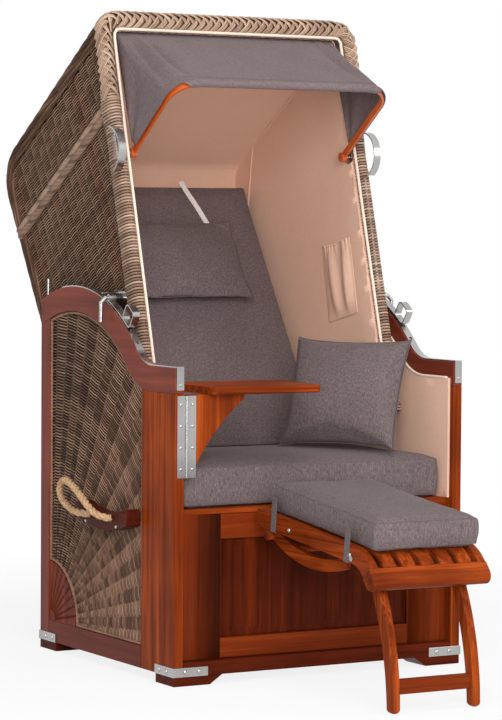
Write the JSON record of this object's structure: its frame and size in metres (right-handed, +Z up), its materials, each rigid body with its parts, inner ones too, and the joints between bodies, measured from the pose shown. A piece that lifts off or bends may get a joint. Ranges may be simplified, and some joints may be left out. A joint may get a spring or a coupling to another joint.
{
  "type": "hooded beach chair",
  "caption": "Hooded wicker beach chair for one sitter with reclining hood, folding awning, swing-out side table, cushions, rope handles and a folding footrest",
  "frame": {"origin": "middle of the floor below the whole chair with its footrest out", "axes": "+X to the right as seen from the front, +Y to the rear, +Z up"},
  "size_m": [0.9522, 1.5734, 1.591],
  "materials": {
    "mahogany": "gloss varnish",
    "wicker": "woven strand",
    "braid": "plaited strand",
    "lining_cloth": "plain weave",
    "cushion_cloth": "melange weave",
    "webbing": "woven tape",
    "polished_steel": "polished",
    "orange_paint": "gloss",
    "rope_fibre": "laid rope"
  },
  "bodies": {
    "base": {"arm_rail_left": "mahogany", "arm_rail_right": "mahogany", "front_posts": "mahogany", "rear_posts": "mahogany", "side_rails": "mahogany", "side_panels": "wicker", "shell_corners": "mahogany", "plinth": "mahogany", "front_frame": "mahogany", "front_field": "mahogany", "seat_deck": "mahogany", "seat_bearers": "mahogany", "rear_wall": "mahogany", "wall_linings": "lining_cloth", "feet": "mahogany", "corner_irons": "polished_steel", "lock_strips": "polished_steel", "stop_pins": "polished_steel", "hood_pivots": "polished_steel", "seat_cushion": "cushion_cloth", "throw_pillow": "cushion_cloth", "handle_blocks": "mahogany", "rope_left": "rope_fibre", "rope_right": "rope_fibre", "table_hinge_post_leaf": "polished_steel", "footrest_hooks": "polished_steel"},
    "hood": {"hood_side_left": "wicker", "hood_side_right": "wicker", "hood_roof": "wicker", "hood_back": "wicker", "hood_lining": "lining_cloth", "hood_braid": "braid", "hood_wraps": "wicker", "hood_handles": "polished_steel", "lock_plates": "polished_steel", "latch_pins": "polished_steel", "bow_clamps": "polished_steel", "canopy": "cushion_cloth", "back_cushion": "cushion_cloth", "head_pillow": "cushion_cloth", "pillow_straps": "webbing", "lining_pocket": "lining_cloth"},
    "awning": {"awning_bow": "orange_paint"},
    "left_latch": {"latch_left": "polished_steel"},
    "right_latch": {"latch_right": "polished_steel"},
    "table": {"table_top": "mahogany", "table_bracket": "mahogany", "table_hinge_swing_leaf": "polished_steel"},
    "footrest": {"footrest_rails": "mahogany", "footrest_cross_bars": "mahogany", "footrest_front_bar": "mahogany", "footrest_slats": "mahogany", "footrest_bolts": "polished_steel", "footrest_cushion": "cushion_cloth", "footrest_straps": "webbing"},
    "front_legs": {"footrest_front_legs": "mahogany"},
    "rear_legs": {"footrest_rear_legs": "mahogany"}
  },
  "joints": [
    {"name": "hood_recline", "type": "hinge", "parent": "base", "child": "hood", "pos_m": [0, 0.29071, 0.46], "axis": [-1, 0, 0], "range_deg": [-10, 26]},
    {"name": "awning_fold", "type": "hinge", "parent": "hood", "child": "awning", "pos_m": [0, 0.16671, 1.242], "axis": [-1, 0, 0], "range_deg": [0, 55], "deforming": ["canopy"]},
    {"name": "left_latch_lift", "type": "hinge", "parent": "hood", "child": "left_latch", "pos_m": [-0.3845, 0.10871, 0.89225], "axis": [-1, 0, 0], "range_deg": [0, 35]},
    {"name": "right_latch_lift", "type": "hinge", "parent": "hood", "child": "right_latch", "pos_m": [0.3845, 0.10871, 0.89225], "axis": [-1, 0, 0], "range_deg": [0, 35]},
    {"name": "table_swing", "type": "hinge", "parent": "base", "child": "table", "pos_m": [-0.367, -0.24129, 0.58], "axis": [0, 0, 1], "range_deg": [-100, 0]},
    {"name": "footrest_tilt", "type": "hinge", "parent": "base", "child": "footrest", "pos_m": [-0.03, -0.25729, 0.396], "axis": [-1, 0, 0], "range_deg": [0, 15]},
    {"name": "front_legs_fold", "type": "hinge", "parent": "footrest", "child": "front_legs", "pos_m": [-0.03, -0.67108, 0.33417], "axis": [1, 0, 0], "range_deg": [0, 100]},
    {"name": "rear_legs_unfold", "type": "hinge", "parent": "footrest", "child": "rear_legs", "pos_m": [-0.03, -0.29255, 0.35086], "axis": [1, 0, 0], "range_deg": [0, 85]}
  ]
}
